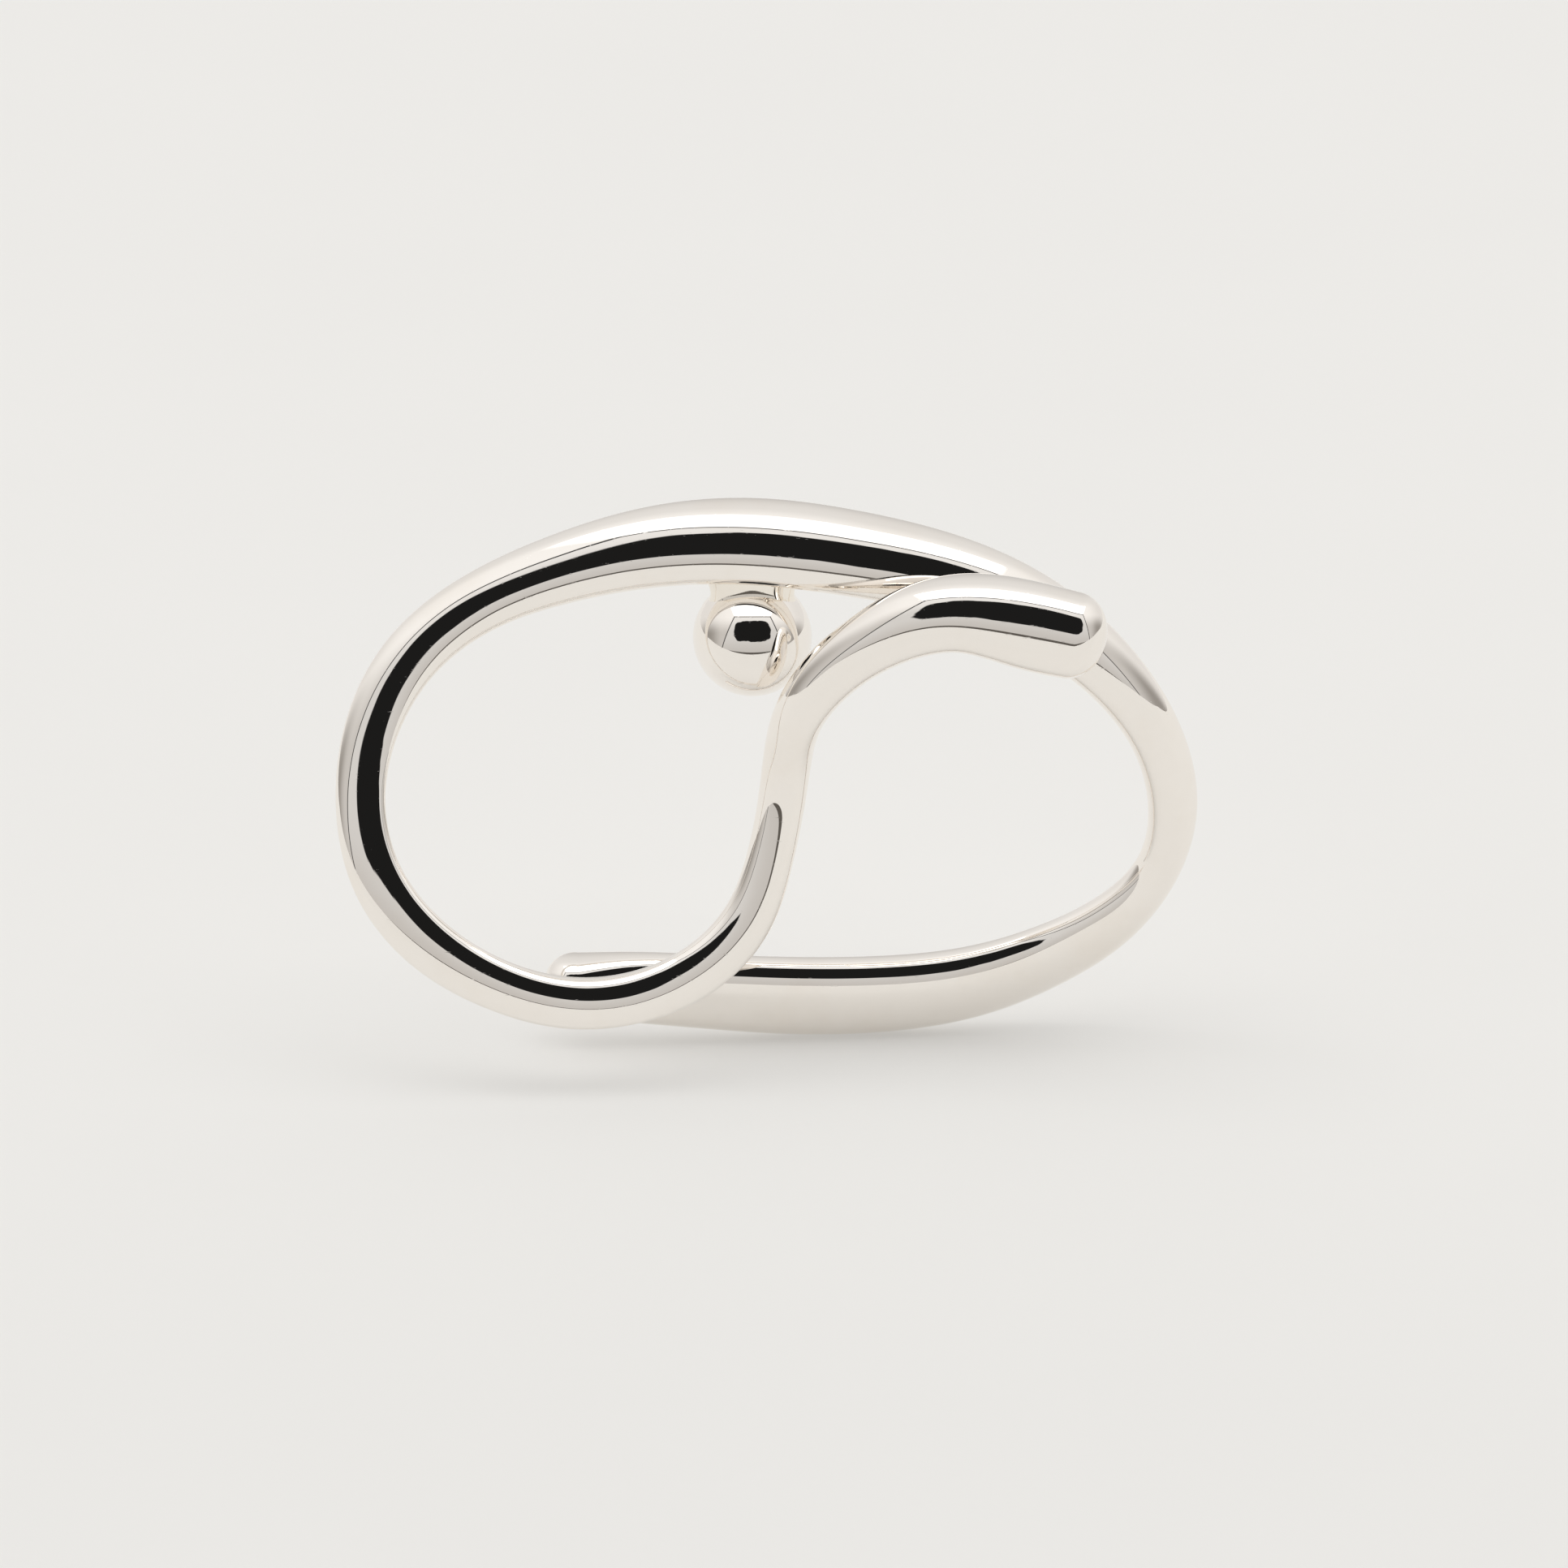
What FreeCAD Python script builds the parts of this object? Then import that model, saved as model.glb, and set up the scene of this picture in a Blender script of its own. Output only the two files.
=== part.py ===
import FreeCAD, Part
import math
import os

# A polished silver-coloured ring bent from one swelling oval bar, with a ball under its top.
# Millimetres, +Z up.  The bar is laid out on the ring's face, which stands upright while it is
# built: X runs across the face, Z up it, Y back from it.  The finished ring then leans back and
# stands on the floor.  The part's origin is under the middle of its box, on the floor.

# ---------------------------------------------------------------- driving dimensions
FACE_LEAN = 22.0            # degrees that the ring's face leans back when it stands

BALL_RADIUS = 4.15
BALL_ACROSS = -1.1          # the ball's centre on the ring's face
BALL_UP = 9.1

BAR_UP = 15.7               # the middle of the bar where it passes over the ball
BAR_BACK = -3.1             # there the bar lies in front of the ball

# The peg and the solder lie on the line from the ball's centre to the middle of the bar, and
# are placed by their distance along it from the ball's centre.
PEG_RADIUS = 0.8
PEG_START = -1.2            # inside the ball
PEG_END = 6.6               # inside the bar

# The solder between ball and bar: distance along that line, half its length along the bar and
# half its depth.  It starts inside the ball and ends inside the bar.
COLLAR_OVALS = [
    (2.4, 3.20, 2.20),
    (3.2, 3.00, 1.75),
    (4.0, 3.10, 1.60),
    (5.0, 3.90, 1.40),
]

TIP_STEPS = 8               # rings that round off each tip
RING_POLES = 12             # poles round the bar's skin
SKIN_DEGREE = 3             # a cubic skin, round the bar and along it

# Stations along the bar, from its front tip to its back tip.
# across, up and back place the middle of the bar on the ring's face.
# The section there is an ellipse: half its width, half its thickness, and its turn about the bar
# in degrees.  At a turn of 0 the width lies in the ring's face.
STATIONS = [
    # front bar, from its tip to the top of the S
    (21.0, 9.2, -8.7, 3.10, 2.55, -14),
    (18.6, 9.75, -9.1, 3.15, 2.50, -12),
    (13.2, 10.7, -9.3, 2.75, 2.25, 0),
    (10.4, 10.2, -8.7, 2.55, 2.15, 0),
    (7.7, 9.0, -7.7, 2.30, 2.00, 0),
    (4.5, 6.7, -5.9, 2.05, 1.80, 0),
    # S down through the middle of the ring
    (2.1, 3.5, -3.5, 1.80, 1.70, 0),
    (1.3, 0.3, -0.8, 1.70, 1.60, 0),
    (0.8, -3.1, 0.4, 1.65, 1.45, 0),
    (0.1, -6.4, 1.15, 1.65, 1.35, -4),
    (-1.2, -10.1, 1.9, 1.75, 1.25, -8),
    (-4.4, -13.8, 2.6, 1.85, 1.15, -12),
    # loop, along its foot and up its left side
    (-8.8, -15.9, 2.9, 1.85, 1.05, -12),
    (-13.9, -16.4, 2.6, 1.85, 1.05, -12),
    (-19.0, -15.1, 2.1, 1.85, 1.00, -13),
    (-23.9, -12.1, 1.7, 1.95, 0.95, -14),
    (-27.15, -7.9, 1.5, 1.90, 0.85, -15),
    (-28.4, -2.5, 1.45, 1.80, 0.80, -16),
    (-27.6, 2.8, 1.4, 1.95, 0.95, -16),
    (-24.8, 7.8, 1.2, 2.10, 1.20, -15),
    # top of the ring, thickest over the ball
    (-20.1, 11.5, 0.7, 2.20, 1.40, -15),
    (-14.5, 13.8, -0.3, 2.50, 1.65, -14),
    (-7.7, 15.4, -1.8, 2.90, 1.85, -13),
    (-0.6, 15.7, -3.1, 3.10, 2.00, -13),
    (6.4, 14.8, -3.6, 3.05, 2.10, -13),
    (13.2, 13.2, -3.2, 2.85, 2.15, -13),
    (19.4, 10.3, -2.0, 2.60, 2.05, -14),
    # right side, running back as it comes down
    (24.1, 6.4, 0.0, 2.20, 1.85, -18),
    (27.2, 1.8, 3.0, 1.90, 1.65, -22),
    (28.2, -3.1, 6.3, 1.75, 1.55, -26),
    (27.0, -7.3, 9.1, 1.65, 1.45, -32),
    (24.2, -10.4, 11.1, 2.05, 1.55, -38),
    # back bar that the ring stands on, to its tip
    (20.0, -12.9, 13.1, 2.50, 1.65, -40),
    (14.4, -14.9, 14.3, 2.90, 1.75, -40),
    (8.1, -15.8, 14.4, 3.15, 1.80, -40),
    (0.8, -15.9, 13.7, 3.20, 1.80, -40),
    (-6.6, -15.5, 12.9, 3.00, 1.80, -40),
    (-10.4, -15.25, 12.5, 2.70, 1.95, -40),
    (-13.5, -14.95, 12.2, 2.05, 2.10, -40),
]

ORIGIN = FreeCAD.Vector(0, 0, 0)
FRONT = FreeCAD.Vector(0, -1, 0)
RIGHT = FreeCAD.Vector(1, 0, 0)
BALL_CENTRE = FreeCAD.Vector(BALL_ACROSS, 0, BALL_UP)
TO_BAR = FreeCAD.Vector(0, BAR_BACK, BAR_UP - BALL_UP).normalize()


# ---------------------------------------------------------------- the bar
def station_point(station):
    across, up, back = station[:3]
    return FreeCAD.Vector(across, back, up)


def smooth_curve(points, distances):
    """A cubic curve that passes each point at its own distance along."""
    curve = Part.BSplineCurve()
    curve.interpolate(Points=points, Parameters=distances)
    return curve


def running_sum(steps):
    total = 0.0
    sums = [total]
    for step in steps:
        total += step
        sums.append(total)
    return sums


def tip_rings(station, direction, side):
    """Rings that shrink along a quarter ellipse: side -1 before the front end, 1 after the back."""
    half_width, half_thickness, turn = station[3:]
    rings = []
    for step in range(1, TIP_STEPS):
        angle = math.radians(90.0 * step / TIP_STEPS)
        centre = station_point(station) + direction * (side * half_thickness * math.sin(angle))
        scale = math.cos(angle)
        rings.append((centre, direction, half_width * scale, half_thickness * scale, turn))
    return rings


def ring_poles(centre, direction, half_width, half_thickness, turn):
    """Poles of a closed cubic curve that follows one elliptical section of the bar."""
    width_axis = FRONT.cross(direction).normalize()
    width_axis = FreeCAD.Rotation(direction, turn).multVec(width_axis)
    thickness_axis = direction.cross(width_axis)
    step = 2.0 * math.pi / RING_POLES
    # A closed cubic curve runs inside its poles, so they stand off the ellipse by this much.
    stand_off = 3.0 / (2.0 + math.cos(step))
    poles = []
    for index in range(RING_POLES):
        along_width = half_width * stand_off * math.cos(index * step)
        along_thickness = half_thickness * stand_off * math.sin(index * step)
        poles.append(centre + width_axis * along_width + thickness_axis * along_thickness)
    return poles


def make_bar():
    """One skin through every ring, closed by a small flat at each tip."""
    points = [station_point(station) for station in STATIONS]
    gaps = [(point - previous).Length for previous, point in zip(points, points[1:])]
    distances = running_sum(gaps)
    route = smooth_curve(points, distances)
    directions = [route.getD1(distance)[1].normalize() for distance in distances]

    front = tip_rings(STATIONS[0], directions[0], -1)[::-1]
    back = tip_rings(STATIONS[-1], directions[-1], 1)
    body = [
        (point, direction, *station[3:])
        for point, direction, station in zip(points, directions, STATIONS)
    ]
    tip_angle = math.radians(90.0 / TIP_STEPS)
    front_gaps = [STATIONS[0][4] * tip_angle] * len(front)
    back_gaps = [STATIONS[-1][4] * tip_angle] * len(back)
    along = running_sum(front_gaps + gaps + back_gaps)

    rings = [ring_poles(*ring) for ring in front + body + back]
    lengthwise = [smooth_curve(list(column), along) for column in zip(*rings)]
    pattern = lengthwise[0]
    skin = Part.BSplineSurface()
    skin.buildFromPolesMultsKnots(
        [curve.getPoles() for curve in lengthwise],
        [1] * (RING_POLES + 1),
        pattern.getMultiplicities(),
        list(range(RING_POLES + 1)),
        pattern.getKnots(),
        True,
        False,
        SKIN_DEGREE,
        pattern.Degree,
    )
    ends = [
        Part.Face(Part.Wire(skin.vIso(distance).toShape()))
        for distance in (along[0], along[-1])
    ]
    shell = Part.makeShell([skin.toShape()] + ends)
    shell.sewShape()
    return Part.makeSolid(shell)


# ---------------------------------------------------------------- the ball and its joint
def make_ball():
    return Part.makeSphere(BALL_RADIUS, BALL_CENTRE)


def make_peg():
    foot = BALL_CENTRE + TO_BAR * PEG_START
    return Part.makeCylinder(PEG_RADIUS, PEG_END - PEG_START, foot, TO_BAR)


def make_collar():
    across_bar = TO_BAR.cross(RIGHT)
    ovals = []
    for distance, half_length, half_depth in COLLAR_OVALS:
        centre = BALL_CENTRE + TO_BAR * distance
        ellipse = Part.Ellipse(
            centre + RIGHT * half_length,
            centre + across_bar * half_depth,
            centre,
        )
        ovals.append(Part.Wire(ellipse.toShape()))
    return Part.makeLoft(ovals, True, False)


# ---------------------------------------------------------------- the assembly
def make_nodes():
    """Every piece on the upright face, each cut to fit the ones it is soldered to."""
    bar = make_bar()
    peg = make_peg()
    ball = make_ball().cut(peg)
    collar = make_collar().cut(bar).cut(make_ball()).cut(peg)
    return {
        "bent_bar": bar.cut(peg),
        "ball": ball,
        "ball_peg": peg,
        "solder_collar": collar,
    }


def stand(nodes):
    """Lean the ring back, and put the middle of its foot's level at the origin."""
    for shape in nodes.values():
        shape.rotate(ORIGIN, RIGHT, -FACE_LEAN)
    box = nodes["bent_bar"].optimalBoundingBox(True, False)
    to_origin = FreeCAD.Vector(-box.Center.x, -box.Center.y, -box.ZMin)
    for shape in nodes.values():
        shape.translate(to_origin)


os.makedirs("parts", exist_ok=True)
pieces = make_nodes()
stand(pieces)
for name, piece in pieces.items():
    piece.exportStep(f"parts/{name}.step")
    print(name, len(piece.Solids), "solid", round(piece.Volume, 2), "mm3", piece.isValid())
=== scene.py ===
import math

import bpy
import numpy as np
from mathutils import Matrix, Vector


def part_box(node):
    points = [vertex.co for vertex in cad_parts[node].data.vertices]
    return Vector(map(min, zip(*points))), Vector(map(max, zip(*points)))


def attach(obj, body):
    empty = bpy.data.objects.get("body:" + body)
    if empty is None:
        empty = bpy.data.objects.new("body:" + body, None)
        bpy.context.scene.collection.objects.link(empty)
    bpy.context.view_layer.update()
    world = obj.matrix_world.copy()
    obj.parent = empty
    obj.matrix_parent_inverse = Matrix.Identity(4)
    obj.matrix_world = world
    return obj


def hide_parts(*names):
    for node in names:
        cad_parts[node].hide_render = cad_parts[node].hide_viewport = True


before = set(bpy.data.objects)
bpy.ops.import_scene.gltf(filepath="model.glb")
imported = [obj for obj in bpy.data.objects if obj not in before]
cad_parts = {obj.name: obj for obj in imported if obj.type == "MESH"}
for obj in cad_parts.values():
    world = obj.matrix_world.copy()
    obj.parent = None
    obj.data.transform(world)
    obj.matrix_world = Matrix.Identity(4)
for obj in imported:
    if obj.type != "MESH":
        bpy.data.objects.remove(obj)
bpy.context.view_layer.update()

# A mirror-polished ring bent from one swelling oval bar, with a ball soldered under its top.
# The bar, ball and solder are rebuilt here as fine smooth meshes on the CAD part's own stations,
# because a mirror shows every facet.  Lengths below are in millimetres, times MM in metres.
MM = 0.001

# ---------------------------------------------------------------- the shape, as in the CAD part
FACE_LEAN = 22.0            # degrees that the ring's face leans back
BALL_RADIUS = 4.15
BALL_ACROSS = -1.1          # the ball's centre on the ring's face
BALL_UP = 9.1
BAR_UP = 15.7               # the middle of the bar where it passes over the ball
BAR_BACK = -3.1             # there the bar lies in front of the ball

# The solder's rings: distance from the ball's centre towards the middle of the bar, half its
# length along the bar and half its depth.  It starts inside the ball and ends inside the bar.
NECK_OVALS = [
    (2.4, 3.25, 2.25),
    (3.0, 2.97, 1.95),
    (3.6, 2.95, 1.68),
    (4.2, 3.15, 1.55),
    (4.7, 3.60, 1.50),
    (5.1, 4.20, 1.50),
]

# Stations along the bar from its front tip to its back tip: across, up and back on the ring's
# face, half width, half thickness, and the section's turn about the bar in degrees.
STATIONS = [
    # front bar, from its tip to the top of the S
    (21.0, 9.2, -8.7, 3.10, 2.55, -14),
    (18.6, 9.75, -9.1, 3.15, 2.50, -12),
    (13.2, 10.7, -9.3, 2.75, 2.25, 0),
    (10.4, 10.2, -8.7, 2.55, 2.15, 0),
    (7.7, 9.0, -7.7, 2.30, 2.00, 0),
    (4.5, 6.7, -5.9, 2.05, 1.80, 0),
    # S down through the middle of the ring
    (2.1, 3.5, -3.5, 1.80, 1.70, 0),
    (1.3, 0.3, -0.8, 1.70, 1.60, 0),
    (0.8, -3.1, 0.4, 1.65, 1.45, 0),
    (0.1, -6.4, 1.15, 1.65, 1.35, -4),
    (-1.2, -10.1, 1.9, 1.75, 1.25, -8),
    (-4.4, -13.8, 2.6, 1.85, 1.15, -12),
    # loop, along its foot and up its left side
    (-8.8, -15.9, 2.9, 1.85, 1.05, -12),
    (-13.9, -16.4, 2.6, 1.85, 1.05, -12),
    (-19.0, -15.1, 2.1, 1.85, 1.00, -13),
    (-23.9, -12.1, 1.7, 1.95, 0.95, -14),
    (-27.15, -7.9, 1.5, 1.90, 0.85, -15),
    (-28.4, -2.5, 1.45, 1.80, 0.80, -16),
    (-27.6, 2.8, 1.4, 1.95, 0.95, -16),
    (-24.8, 7.8, 1.2, 2.10, 1.20, -15),
    # top of the ring, thickest over the ball
    (-20.1, 11.5, 0.7, 2.20, 1.40, -15),
    (-14.5, 13.8, -0.3, 2.50, 1.65, -14),
    (-7.7, 15.4, -1.8, 2.90, 1.85, -13),
    (-0.6, 15.7, -3.1, 3.10, 2.00, -13),
    (6.4, 14.8, -3.6, 3.05, 2.10, -13),
    (13.2, 13.2, -3.2, 2.85, 2.15, -13),
    (19.4, 10.3, -2.0, 2.60, 2.05, -14),
    # right side, running back as it comes down
    (24.1, 6.4, 0.0, 2.20, 1.85, -18),
    (27.2, 1.8, 3.0, 1.90, 1.65, -22),
    (28.2, -3.1, 6.3, 1.75, 1.55, -26),
    (27.0, -7.3, 9.1, 1.65, 1.45, -32),
    (24.2, -10.4, 11.1, 2.05, 1.55, -38),
    # back bar that the ring stands on, to its tip
    (20.0, -12.9, 13.1, 2.50, 1.65, -40),
    (14.4, -14.9, 14.3, 2.90, 1.75, -40),
    (8.1, -15.8, 14.4, 3.15, 1.80, -40),
    (0.8, -15.9, 13.7, 3.20, 1.80, -40),
    (-6.6, -15.5, 12.9, 3.00, 1.80, -40),
    (-10.4, -15.25, 12.5, 2.70, 1.95, -40),
    (-13.5, -14.95, 12.2, 2.05, 2.10, -40),
]

# ---------------------------------------------------------------- how fine the meshes are
RING_STEP = 0.27            # distance between the bar's rings, mm
AROUND = 96                 # points round each ring
TIP_RINGS = 28              # rings that round off each tip
BALL_RINGS = 128
BALL_AROUND = 192
NECK_RINGS = 24

# ---------------------------------------------------------------- metals, colours in linear RGB
SILVER = (0.955, 0.915, 0.865, 1.0)
SOLDER = (0.95, 0.90, 0.82, 1.0)
WIRE = (0.80, 0.79, 0.76, 1.0)
TARNISH = (0.86, 0.79, 0.70, 1.0)

# Noise scales per metre, and heights in metres.
STAIN_SCALE = 140.0         # clouds of faint tarnish
SMEAR_SCALE = 420.0         # uneven polish
WAVE_SCALE = 260.0          # soft waves in the surface
SCRATCH_SCALE = (400.0, 9000.0, 9000.0)     # hairline scratches, long in X
WAVE_HEIGHT = 0.0002
SCRATCH_DEPTH = 0.00002
BUMP_STRENGTH = 0.05
ROUGHEST = 2.5              # the dullest polish, as a multiple of a metal's own roughness

# ---------------------------------------------------------------- what the camera looks at
VIEW_ELEVATION = 22.0       # degrees that the camera looks down
VIEW_TARGET = (1.1, -1.15)  # across and up on the ring's face
VIEW_DISTANCE = 4.0         # metres: far off with a long lens, so the view is nearly parallel
VIEW_WIDTH = 109.2          # what the frame takes in at the ring, mm
VIEW_REACH = 10.0           # how far the camera sees, metres
SENSOR = 36.0               # the camera's sensor width, mm

# ---------------------------------------------------------------- floor sheet, lengths in metres
FLOOR_SIDE = 1.2            # its width, and how far it runs back behind the ring
FLOOR_FRONT = 0.50          # from the ring to its front edge
FLOOR_FLAT = 0.012          # how far in front of the ring it lies flat
FLOOR_BEND = 0.04           # length over which it starts to fall
FLOOR_BEND_STEPS = 12
FLOOR_FALL = 9.6            # degrees that it falls beyond that
FLOOR_PAINTED_GLOW = 0.30           # painted glow: the sheet gives off light of its own, as if lit from below, which lightens the ring's shadows on it
FLOOR_TONES = ((0.574, 0.567, 0.549, 1.0), (0.592, 0.585, 0.567, 1.0))
# the colour of the floor's painted glow
FLOOR_PAINTED_GLOW_COLOUR = (1.0, 0.99, 0.965, 1.0)
FLOOR_MOTTLE_SCALE = 30.0
FLOOR_ROUGHNESS = 0.9

# ---------------------------------------------------------------- light tent
# Places and widths are angles in degrees, as make_tent sets the tent out.  The frame's and the
# softbox's half widths are those at the top edge of the frame, and a spread is how much wider
# they get with each degree below that edge.
FRAME_TOP = 19.6            # the frame round the front opening
FRAME_FOOT = -40.0
FRAME_HALF_WIDTH = 18.0
FRAME_SPREAD = 0.42
FRAME_EDGE = 0.25           # how soft the frame's edges are
SEAM_SIDE = 1.0             # the dark seam along the frame's sides
SEAM_ABOVE = 0.5            # and how far it reaches above and below the frame's top edge
SEAM_BELOW = 0.4
OPENING_MIDDLE = 5.3
OPENING_HALF_WIDTH = 17.8
OPENING_HALF_HEIGHT = 10.0
OPENING_SQUARENESS = 4.0    # 2 is an oval, and more is nearer to an oblong
OPENING_EDGE = 0.1          # how soft its edge is, as a share of its reach
RAGGED_SCALE = 9.0          # how finely that edge wavers
SOFTBOX_FOOT = 20.4
SOFTBOX_TOP = 32.4
SOFTBOX_HALF_WIDTH = 18.2
SOFTBOX_SPREAD = -0.6
SOFTBOX_EDGE = 1.0
SOFTBOX_GLOW = 2.2          # its brightness, where white paint is 1
FRONT_SEAM = (-0.152, -0.147)   # rise, per unit of length, of a ray to the front sheet's seam
BACKDROP = (0.83, 0.82, 0.79, 1.0)      # what is seen past the floor's far edge

# Directions while the ring's face is upright.
FRONT = np.array([0.0, -1.0, 0.0])
RIGHT = np.array([1.0, 0.0, 0.0])
TAU = 2.0 * math.pi


# ---------------------------------------------------------------- mesh making
def natural_spline(distances, values, wanted):
    """Cubic curve through rows of values, evaluated at the wanted distances."""
    count = len(distances)
    gaps = np.diff(distances)
    system = np.eye(count)
    known = np.zeros(values.shape)
    slopes = np.diff(values, axis=0) / gaps[:, None]
    for row in range(1, count - 1):
        system[row, row - 1] = gaps[row - 1]
        system[row, row] = 2.0 * (gaps[row - 1] + gaps[row])
        system[row, row + 1] = gaps[row]
        known[row] = 6.0 * (slopes[row] - slopes[row - 1])
    bends = np.linalg.solve(system, known)
    span = np.clip(np.searchsorted(distances, wanted) - 1, 0, count - 2)
    gap = gaps[span][:, None]
    after = wanted[:, None] - distances[span][:, None]
    before = gap - after
    curved = (bends[span] * before**3 + bends[span + 1] * after**3) / (6.0 * gap)
    straight_before = (values[span] / gap - bends[span] * gap / 6.0) * before
    straight_after = (values[span + 1] / gap - bends[span + 1] * gap / 6.0) * after
    return curved + straight_before + straight_after


def unit(rows):
    return rows / np.linalg.norm(rows, axis=-1, keepdims=True)


def ring_points(centres, directions, half_widths, half_thicknesses, turns, around):
    """Elliptical rings square to the bar: an array of rings by points by x, y, z."""
    flat = unit(np.cross(FRONT, directions))
    deep = np.cross(directions, flat)
    turn = np.radians(turns)[:, None]
    width_axis = flat * np.cos(turn) + deep * np.sin(turn)
    thickness_axis = np.cross(directions, width_axis)
    angle = np.arange(around) * TAU / around
    across = (half_widths[:, None] * np.cos(angle))[..., None] * width_axis[:, None, :]
    through = (half_thicknesses[:, None] * np.sin(angle))[..., None] * thickness_axis[:, None, :]
    return centres[:, None, :] + across + through


def tube_mesh(name, rings, start, end):
    """A closed tube of quads through the rings, drawn in to a point at its start and its end."""
    count, around = rings.shape[:2]
    points = rings.reshape(-1, 3).tolist() + [list(start), list(end)]
    start_point = count * around
    end_point = start_point + 1
    last_ring = start_point - around
    rounds = np.arange(count - 1)[:, None] * around
    here = rounds + np.arange(around)
    onward = rounds + (np.arange(around) + 1) % around
    quads = np.stack([here, onward, onward + around, here + around], axis=-1)
    faces = quads.reshape(-1, 4).tolist()
    pairs = [(step, (step + 1) % around) for step in range(around)]
    faces += [(after, before, start_point) for before, after in pairs]
    faces += [(last_ring + before, last_ring + after, end_point) for before, after in pairs]
    mesh = bpy.data.meshes.new(name)
    mesh.from_pydata(points, [], faces)
    mesh.polygons.foreach_set("use_smooth", [True] * len(mesh.polygons))
    mesh.update()
    piece = bpy.data.objects.new(name, mesh)
    bpy.context.scene.collection.objects.link(piece)
    return piece


# ---------------------------------------------------------------- the pieces
def bar_rings():
    """Every ring of the bar on the upright face, and the point at each tip."""
    table = np.array(STATIONS)
    points = table[:, [0, 2, 1]]
    sections = table[:, 3:]
    gaps = np.linalg.norm(np.diff(points, axis=0), axis=1)
    distances = np.concatenate([[0.0], np.cumsum(gaps)])
    wanted = np.linspace(0.0, distances[-1], int(distances[-1] / RING_STEP))
    centres = natural_spline(distances, points, wanted)
    directions = unit(np.gradient(centres, axis=0))
    sizes = natural_spline(distances, sections, wanted)

    angles = np.arange(1, TIP_RINGS) * (math.pi / 2.0) / TIP_RINGS
    parts = []
    tips = []
    for end, side in ((0, -1.0), (-1, 1.0)):
        reach = directions[end] * side * sizes[end, 1]
        middle = centres[end] + np.sin(angles)[:, None] * reach
        shrunk = np.repeat(sizes[end][None, :], len(angles), axis=0)
        shrunk[:, :2] *= np.cos(angles)[:, None]
        heading = np.repeat(directions[end][None, :], len(angles), axis=0)
        order = slice(None, None, -1) if end == 0 else slice(None)
        parts.append((middle[order], heading, shrunk[order]))
        tips.append(centres[end] + reach)
    (front_c, front_d, front_s), (back_c, back_d, back_s) = parts
    centres = np.concatenate([front_c, centres, back_c])
    directions = np.concatenate([front_d, directions, back_d])
    sizes = np.concatenate([front_s, sizes, back_s])
    rings = ring_points(centres, directions, sizes[:, 0], sizes[:, 1], sizes[:, 2], AROUND)
    return rings, tips


def make_bar():
    rings, (front_tip, back_tip) = bar_rings()
    return tube_mesh("polished_bar", rings * MM, front_tip * MM, back_tip * MM)


def make_ball():
    polar = np.arange(1, BALL_RINGS) * math.pi / BALL_RINGS
    turn = np.arange(BALL_AROUND) * TAU / BALL_AROUND
    centre = np.array([BALL_ACROSS, 0.0, BALL_UP])
    rings = np.stack([
        np.outer(np.sin(polar), np.cos(turn)),
        np.outer(np.sin(polar), np.sin(turn)),
        np.outer(-np.cos(polar), np.ones(BALL_AROUND)),
    ], axis=-1) * BALL_RADIUS + centre
    foot = centre - [0.0, 0.0, BALL_RADIUS]
    top = centre + [0.0, 0.0, BALL_RADIUS]
    return tube_mesh("polished_ball", rings * MM, foot * MM, top * MM)


def make_neck():
    """The solder: it leaves the ball smoothly and spreads along the bar's underside."""
    table = np.array(NECK_OVALS)
    distance = np.linspace(table[0, 0], table[-1, 0], NECK_RINGS)
    length, depth = natural_spline(table[:, 0], table[:, 1:], distance).T
    to_bar = unit(np.array([0.0, BAR_BACK, BAR_UP - BALL_UP]))
    across_bar = np.cross(to_bar, RIGHT)
    centres = np.array([BALL_ACROSS, 0.0, BALL_UP]) + np.outer(distance, to_bar)
    turn = np.arange(BALL_AROUND) * TAU / BALL_AROUND
    along = np.outer(length, np.cos(turn))[..., None] * RIGHT
    through = np.outer(depth, np.sin(turn))[..., None] * across_bar
    rings = centres[:, None, :] + along + through
    return tube_mesh("solder_neck", rings * MM, centres[0] * MM, centres[-1] * MM)


def box_of(piece):
    corners = np.array([vertex.co for vertex in piece.data.vertices])
    return corners.min(axis=0), corners.max(axis=0)


bar = make_bar()
ball = make_ball()
neck = make_neck()

# Lean the face back, then set the bar's box on the CAD bar's box.
lean = Matrix.Rotation(math.radians(-FACE_LEAN), 4, "X")
bar.data.transform(lean)
made_low, made_high = box_of(bar)
cad_low, cad_high = (np.array(corner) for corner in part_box("bent_bar"))
shift = (cad_low + cad_high - made_low - made_high) / 2.0
shift[2] = cad_low[2] - made_low[2]
stand = Matrix.Translation(Vector(shift))
bar.data.transform(stand)
for piece in (ball, neck):
    piece.data.transform(stand @ lean)


def on_face(across, up):
    """A point of the ring's face, given in millimetres, where it stands."""
    return stand @ lean @ Vector((across * MM, 0.0, up * MM))


for piece, node, slot in (
    (bar, "bent_bar", "polished_metal"),
    (ball, "ball", "polished_metal"),
    (neck, "solder_collar", "solder"),
):
    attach(piece, "root")
    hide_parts(node)


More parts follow.
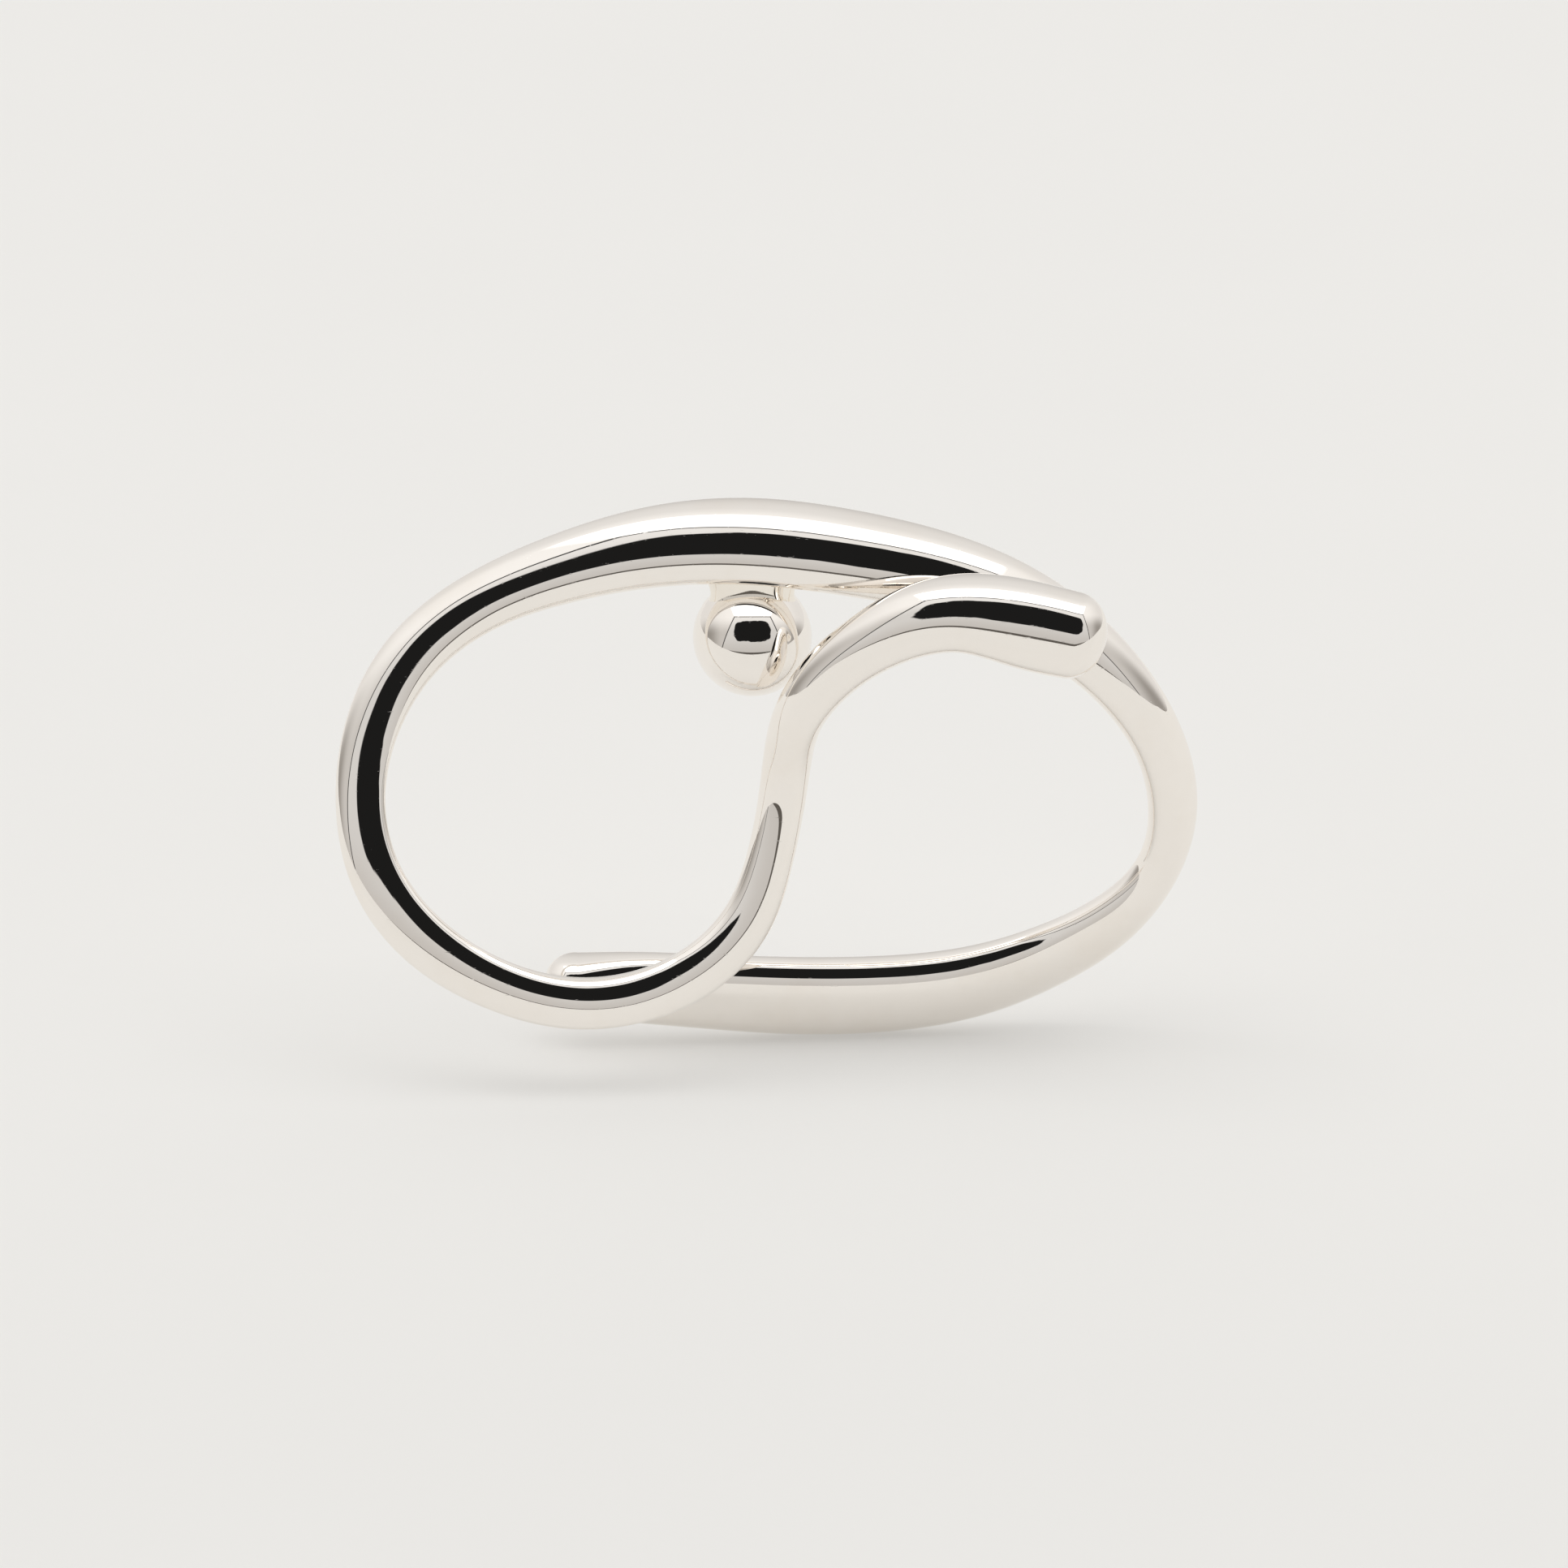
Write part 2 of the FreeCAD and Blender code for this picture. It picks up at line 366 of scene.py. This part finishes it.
# ---------------------------------------------------------------- node helpers
class Nodes:
    """Short names for the shader nodes used below."""

    def __init__(self, tree):
        self.tree = tree

    def add(self, kind, **settings):
        node = self.tree.nodes.new(kind)
        for key, value in settings.items():
            setattr(node, key, value)
        return node

    def put(self, socket, value):
        if isinstance(value, bpy.types.NodeSocket):
            self.tree.links.new(value, socket)
        elif value is not None:
            socket.default_value = value

    def math(self, operation, first, second=None):
        node = self.add("ShaderNodeMath", operation=operation)
        self.put(node.inputs[0], first)
        self.put(node.inputs[1], second)
        return node.outputs[0]

    def vector(self, operation, first, second=None, output=0):
        node = self.add("ShaderNodeVectorMath", operation=operation)
        self.put(node.inputs[0], first)
        self.put(node.inputs[1], second)
        return node.outputs[output]

    def ramp(self, value, low, high, first=0.0, last=1.0):
        """Smoothly from first to last as value goes from low to high."""
        node = self.add("ShaderNodeMapRange", interpolation_type="SMOOTHSTEP")
        for index, amount in enumerate((value, low, high, first, last)):
            self.put(node.inputs[index], amount)
        return node.outputs[0]

    def mix(self, share, first, second):
        node = self.add("ShaderNodeMix", data_type="RGBA")
        self.put(node.inputs[0], share)
        self.put(node.inputs[6], first)
        self.put(node.inputs[7], second)
        return node.outputs[2]

    def noise(self, place, scale, detail=2.0, roughness=0.5):
        node = self.add("ShaderNodeTexNoise")
        self.put(node.inputs["Vector"], place)
        self.put(node.inputs["Scale"], scale)
        self.put(node.inputs["Detail"], detail)
        self.put(node.inputs["Roughness"], roughness)
        return node.outputs["Fac"]


def grey(level, warmth=0.0):
    """A neutral colour, warmer as warmth grows."""
    return (level * (1.0 + warmth), level, level * (1.0 - warmth), 1.0)


# ---------------------------------------------------------------- metals
def metal(name, light, dark, tarnish, roughness):
    """Hand-polished metal: a faint tarnish, uneven polish, soft waves and hairline scratches."""
    material = bpy.data.materials.new(name)
    material.use_nodes = True
    nodes = Nodes(material.node_tree)
    shader = material.node_tree.nodes["Principled BSDF"]
    shader.inputs["Metallic"].default_value = 1.0
    place = nodes.add("ShaderNodeTexCoord").outputs["Object"]

    cloud = nodes.noise(place, STAIN_SCALE, 4.0, 0.6)
    stain = nodes.ramp(cloud, 0.45, 0.75, 0.0, tarnish)
    nodes.put(shader.inputs["Base Color"], nodes.mix(stain, light, dark))

    smear = nodes.noise(place, SMEAR_SCALE, 5.0, 0.65)
    dullness = nodes.ramp(smear, 0.35, 0.8, roughness, roughness * ROUGHEST)
    nodes.put(shader.inputs["Roughness"], dullness)

    broad = nodes.add("ShaderNodeBump")
    broad.inputs["Strength"].default_value = BUMP_STRENGTH
    broad.inputs["Distance"].default_value = WAVE_HEIGHT
    nodes.put(broad.inputs["Height"], nodes.noise(place, WAVE_SCALE, 1.0, 0.4))

    streaks = nodes.add("ShaderNodeMapping")
    streaks.inputs["Scale"].default_value = SCRATCH_SCALE
    nodes.put(streaks.inputs["Vector"], place)
    hairline = nodes.ramp(nodes.noise(streaks.outputs[0], 1.0, 3.0, 0.7), 0.62, 0.8)
    fine = nodes.add("ShaderNodeBump", invert=True)
    fine.inputs["Strength"].default_value = BUMP_STRENGTH
    fine.inputs["Distance"].default_value = SCRATCH_DEPTH
    nodes.put(fine.inputs["Height"], hairline)
    nodes.put(fine.inputs["Normal"], broad.outputs[0])
    nodes.put(shader.inputs["Normal"], fine.outputs[0])
    return material


silver = metal("polished_silver", SILVER, TARNISH, 0.25, 0.012)
bar.data.materials.append(silver)
ball.data.materials.append(silver)
neck.data.materials.append(metal("polished_solder", SOLDER, TARNISH, 0.5, 0.03))
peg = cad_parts["ball_peg"]
peg.data.materials.clear()
peg.data.materials.append(metal("plain_wire", WIRE, TARNISH, 0.3, 0.25))


# ---------------------------------------------------------------- floor
def make_floor():
    """A sheet that lies flat under the ring and falls away gently in front of it."""
    mesh = bpy.data.meshes.new("floor")
    half = FLOOR_SIDE / 2.0
    fall = math.tan(math.radians(FLOOR_FALL))
    profile = [(FLOOR_SIDE, 0.0), (-FLOOR_FLAT, 0.0)]
    for step in range(1, FLOOR_BEND_STEPS + 1):
        along = FLOOR_BEND * step / FLOOR_BEND_STEPS
        profile.append((-FLOOR_FLAT - along, -fall * along * along / (2.0 * FLOOR_BEND)))
    profile.append((-FLOOR_FRONT, -fall * (FLOOR_FRONT - FLOOR_FLAT - FLOOR_BEND / 2.0)))
    corners = [(side, back, up) for back, up in profile for side in (-half, half)]
    strips = range(0, len(corners) - 2, 2)
    faces = [(first, first + 2, first + 3, first + 1) for first in strips]
    mesh.from_pydata(corners, [], faces)
    mesh.polygons.foreach_set("use_smooth", [True] * len(faces))
    floor = bpy.data.objects.new("floor", mesh)
    bpy.context.scene.collection.objects.link(floor)
    material = bpy.data.materials.new("floor_sheet")
    material.use_nodes = True
    nodes = Nodes(material.node_tree)
    shader = material.node_tree.nodes["Principled BSDF"]
    place = nodes.add("ShaderNodeTexCoord").outputs["Object"]
    mottle = nodes.noise(place, FLOOR_MOTTLE_SCALE, 3.0)
    nodes.put(shader.inputs["Base Color"], nodes.mix(mottle, *FLOOR_TONES))
    shader.inputs["Roughness"].default_value = FLOOR_ROUGHNESS
    # painted glow: the floor gives off light of its own, which lightens the shadows on it
    shader.inputs["Emission Color"].default_value = FLOOR_PAINTED_GLOW_COLOUR
    shader.inputs["Emission Strength"].default_value = FLOOR_PAINTED_GLOW
    mesh.materials.append(material)


make_floor()


# ---------------------------------------------------------------- light tent
def make_tent():
    """The tent round the ring, set out by the direction of the surface that mirrors it.

    Azimuth and elevation are those of a surface that mirrors this part of the tent along the
    normal of the ring's face, in degrees off that normal.
    """
    world = bpy.data.worlds.new("light_tent")
    bpy.context.scene.world = world
    world.use_nodes = True
    tree = world.node_tree
    nodes = Nodes(tree)
    lean_angle = math.radians(FACE_LEAN)
    normal = (0.0, -math.cos(lean_angle), math.sin(lean_angle))
    upward = (0.0, math.sin(lean_angle), math.cos(lean_angle))

    towards = nodes.add("ShaderNodeTexCoord").outputs["Generated"]
    half = nodes.vector("NORMALIZE", nodes.vector("ADD", towards, normal))
    sideways = nodes.vector("DOT_PRODUCT", half, (1.0, 0.0, 0.0), 1)
    front = nodes.vector("DOT_PRODUCT", half, normal, 1)
    rise = nodes.vector("DOT_PRODUCT", half, upward, 1)
    azimuth = nodes.math("DEGREES", nodes.math("ARCTAN2", sideways, front))
    elevation = nodes.math("DEGREES", nodes.math("ARCSINE", rise))
    aside = nodes.math("ABSOLUTE", azimuth)

    def panel(colour, below, half_width, low, high, soft):
        """Lays a panel over the colour below it.  Its half width may vary over the tent."""
        past = nodes.math("SUBTRACT", aside, half_width)
        wide = nodes.ramp(past, -soft, soft, 1.0, 0.0)
        over = nodes.ramp(elevation, low - soft, low + soft)
        under = nodes.ramp(elevation, high - soft, high + soft, 1.0, 0.0)
        share = nodes.math("MULTIPLY", nodes.math("MULTIPLY", wide, over), under)
        return nodes.mix(share, below, colour)

    def slanted(half_width, spread):
        """A half width given at the frame's top edge, that changes with each degree below it."""
        below_top = nodes.math("SUBTRACT", FRAME_TOP, elevation)
        return nodes.math("ADD", nodes.math("MULTIPLY", below_top, spread), half_width)

    def opening():
        """The dark opening that the ring is seen through: a rounded, slightly uneven oblong."""
        ragged = nodes.math("SUBTRACT", nodes.noise(half, RAGGED_SCALE, 3.0), 0.5)
        wide = nodes.math("DIVIDE", aside, OPENING_HALF_WIDTH)
        wide = nodes.math("POWER", wide, OPENING_SQUARENESS)
        tall = nodes.math("ABSOLUTE", nodes.math("SUBTRACT", elevation, OPENING_MIDDLE))
        tall = nodes.math("DIVIDE", tall, OPENING_HALF_HEIGHT)
        tall = nodes.math("POWER", tall, OPENING_SQUARENESS)
        reach = nodes.math("ADD", nodes.math("ADD", wide, tall), ragged)
        return nodes.ramp(reach, 1.0 - OPENING_EDGE, 1.0 + OPENING_EDGE, 1.0, 0.0)

    # roof and walls, with a darker patch at each side
    roof = nodes.mix(nodes.ramp(elevation, 40.0, 85.0), grey(0.80, 0.012), grey(0.56, 0.02))
    side = nodes.mix(nodes.ramp(aside, 30.0, 46.0), grey(0.58, 0.03), grey(0.31, 0.06))
    side = nodes.mix(nodes.ramp(aside, 50.0, 68.0), side, grey(0.74, 0.03))
    bright = nodes.mix(nodes.ramp(aside, 20.0, 60.0), grey(0.98, 0.01), grey(0.78, 0.02))
    look = nodes.mix(nodes.ramp(elevation, 2.0, 20.0), side, bright)
    look = nodes.mix(nodes.ramp(elevation, 30.0, 44.0), look, roof)
    # the frame round the front opening, with a seam at its edge, brighter towards the top
    seam_width = slanted(FRAME_HALF_WIDTH + SEAM_SIDE, FRAME_SPREAD)
    frame_width = slanted(FRAME_HALF_WIDTH, FRAME_SPREAD)
    look = panel(grey(0.03), look, seam_width, FRAME_FOOT, FRAME_TOP + SEAM_ABOVE, FRAME_EDGE)
    frame_look = nodes.mix(nodes.ramp(elevation, -16.0, 2.0), grey(0.56, 0.03), grey(0.68, 0.01))
    frame_look = nodes.mix(nodes.ramp(elevation, 4.0, 18.0), frame_look, grey(0.86, 0.005))
    look = panel(frame_look, look, frame_width, FRAME_FOOT, FRAME_TOP - SEAM_BELOW, FRAME_EDGE)
    look = nodes.mix(opening(), look, grey(0.012))
    # the lamp's soft bright sheet above the frame
    softbox_width = slanted(SOFTBOX_HALF_WIDTH, SOFTBOX_SPREAD)
    glow = grey(SOFTBOX_GLOW)
    look = panel(glow, look, softbox_width, SOFTBOX_FOOT, SOFTBOX_TOP, SOFTBOX_EDGE)
    # the seam where the front sheet meets the tent, and the dark below it
    rise_of_ray = nodes.vector("DOT_PRODUCT", towards, (0.0, 0.0, 1.0), 1)
    below_seam = nodes.ramp(rise_of_ray, *FRONT_SEAM, 1.0, 0.0)
    look = nodes.mix(below_seam, look, grey(0.10, 0.1))

    # the tent itself isn't seen directly: past the floor's edge is a plain pale backdrop
    seen_directly = nodes.add("ShaderNodeLightPath").outputs["Is Camera Ray"]
    look = nodes.mix(seen_directly, look, BACKDROP)
    background = tree.nodes["Background"]
    nodes.put(background.inputs["Color"], look)


make_tent()


# ---------------------------------------------------------------- camera
def make_camera():
    data = bpy.data.cameras.new("camera")
    camera = bpy.data.objects.new("camera", data)
    bpy.context.scene.collection.objects.link(camera)
    elevation = math.radians(VIEW_ELEVATION)
    back = Vector((0.0, -math.cos(elevation), math.sin(elevation)))
    camera.location = on_face(*VIEW_TARGET) + back * VIEW_DISTANCE
    camera.rotation_mode = "QUATERNION"
    camera.rotation_quaternion = (-back).to_track_quat("-Z", "Y")
    data.sensor_width = SENSOR
    data.lens = SENSOR * VIEW_DISTANCE / (VIEW_WIDTH * MM)
    data.clip_end = VIEW_REACH
    bpy.context.scene.camera = camera


make_camera()
bpy.context.scene.view_settings.view_transform = "Standard"
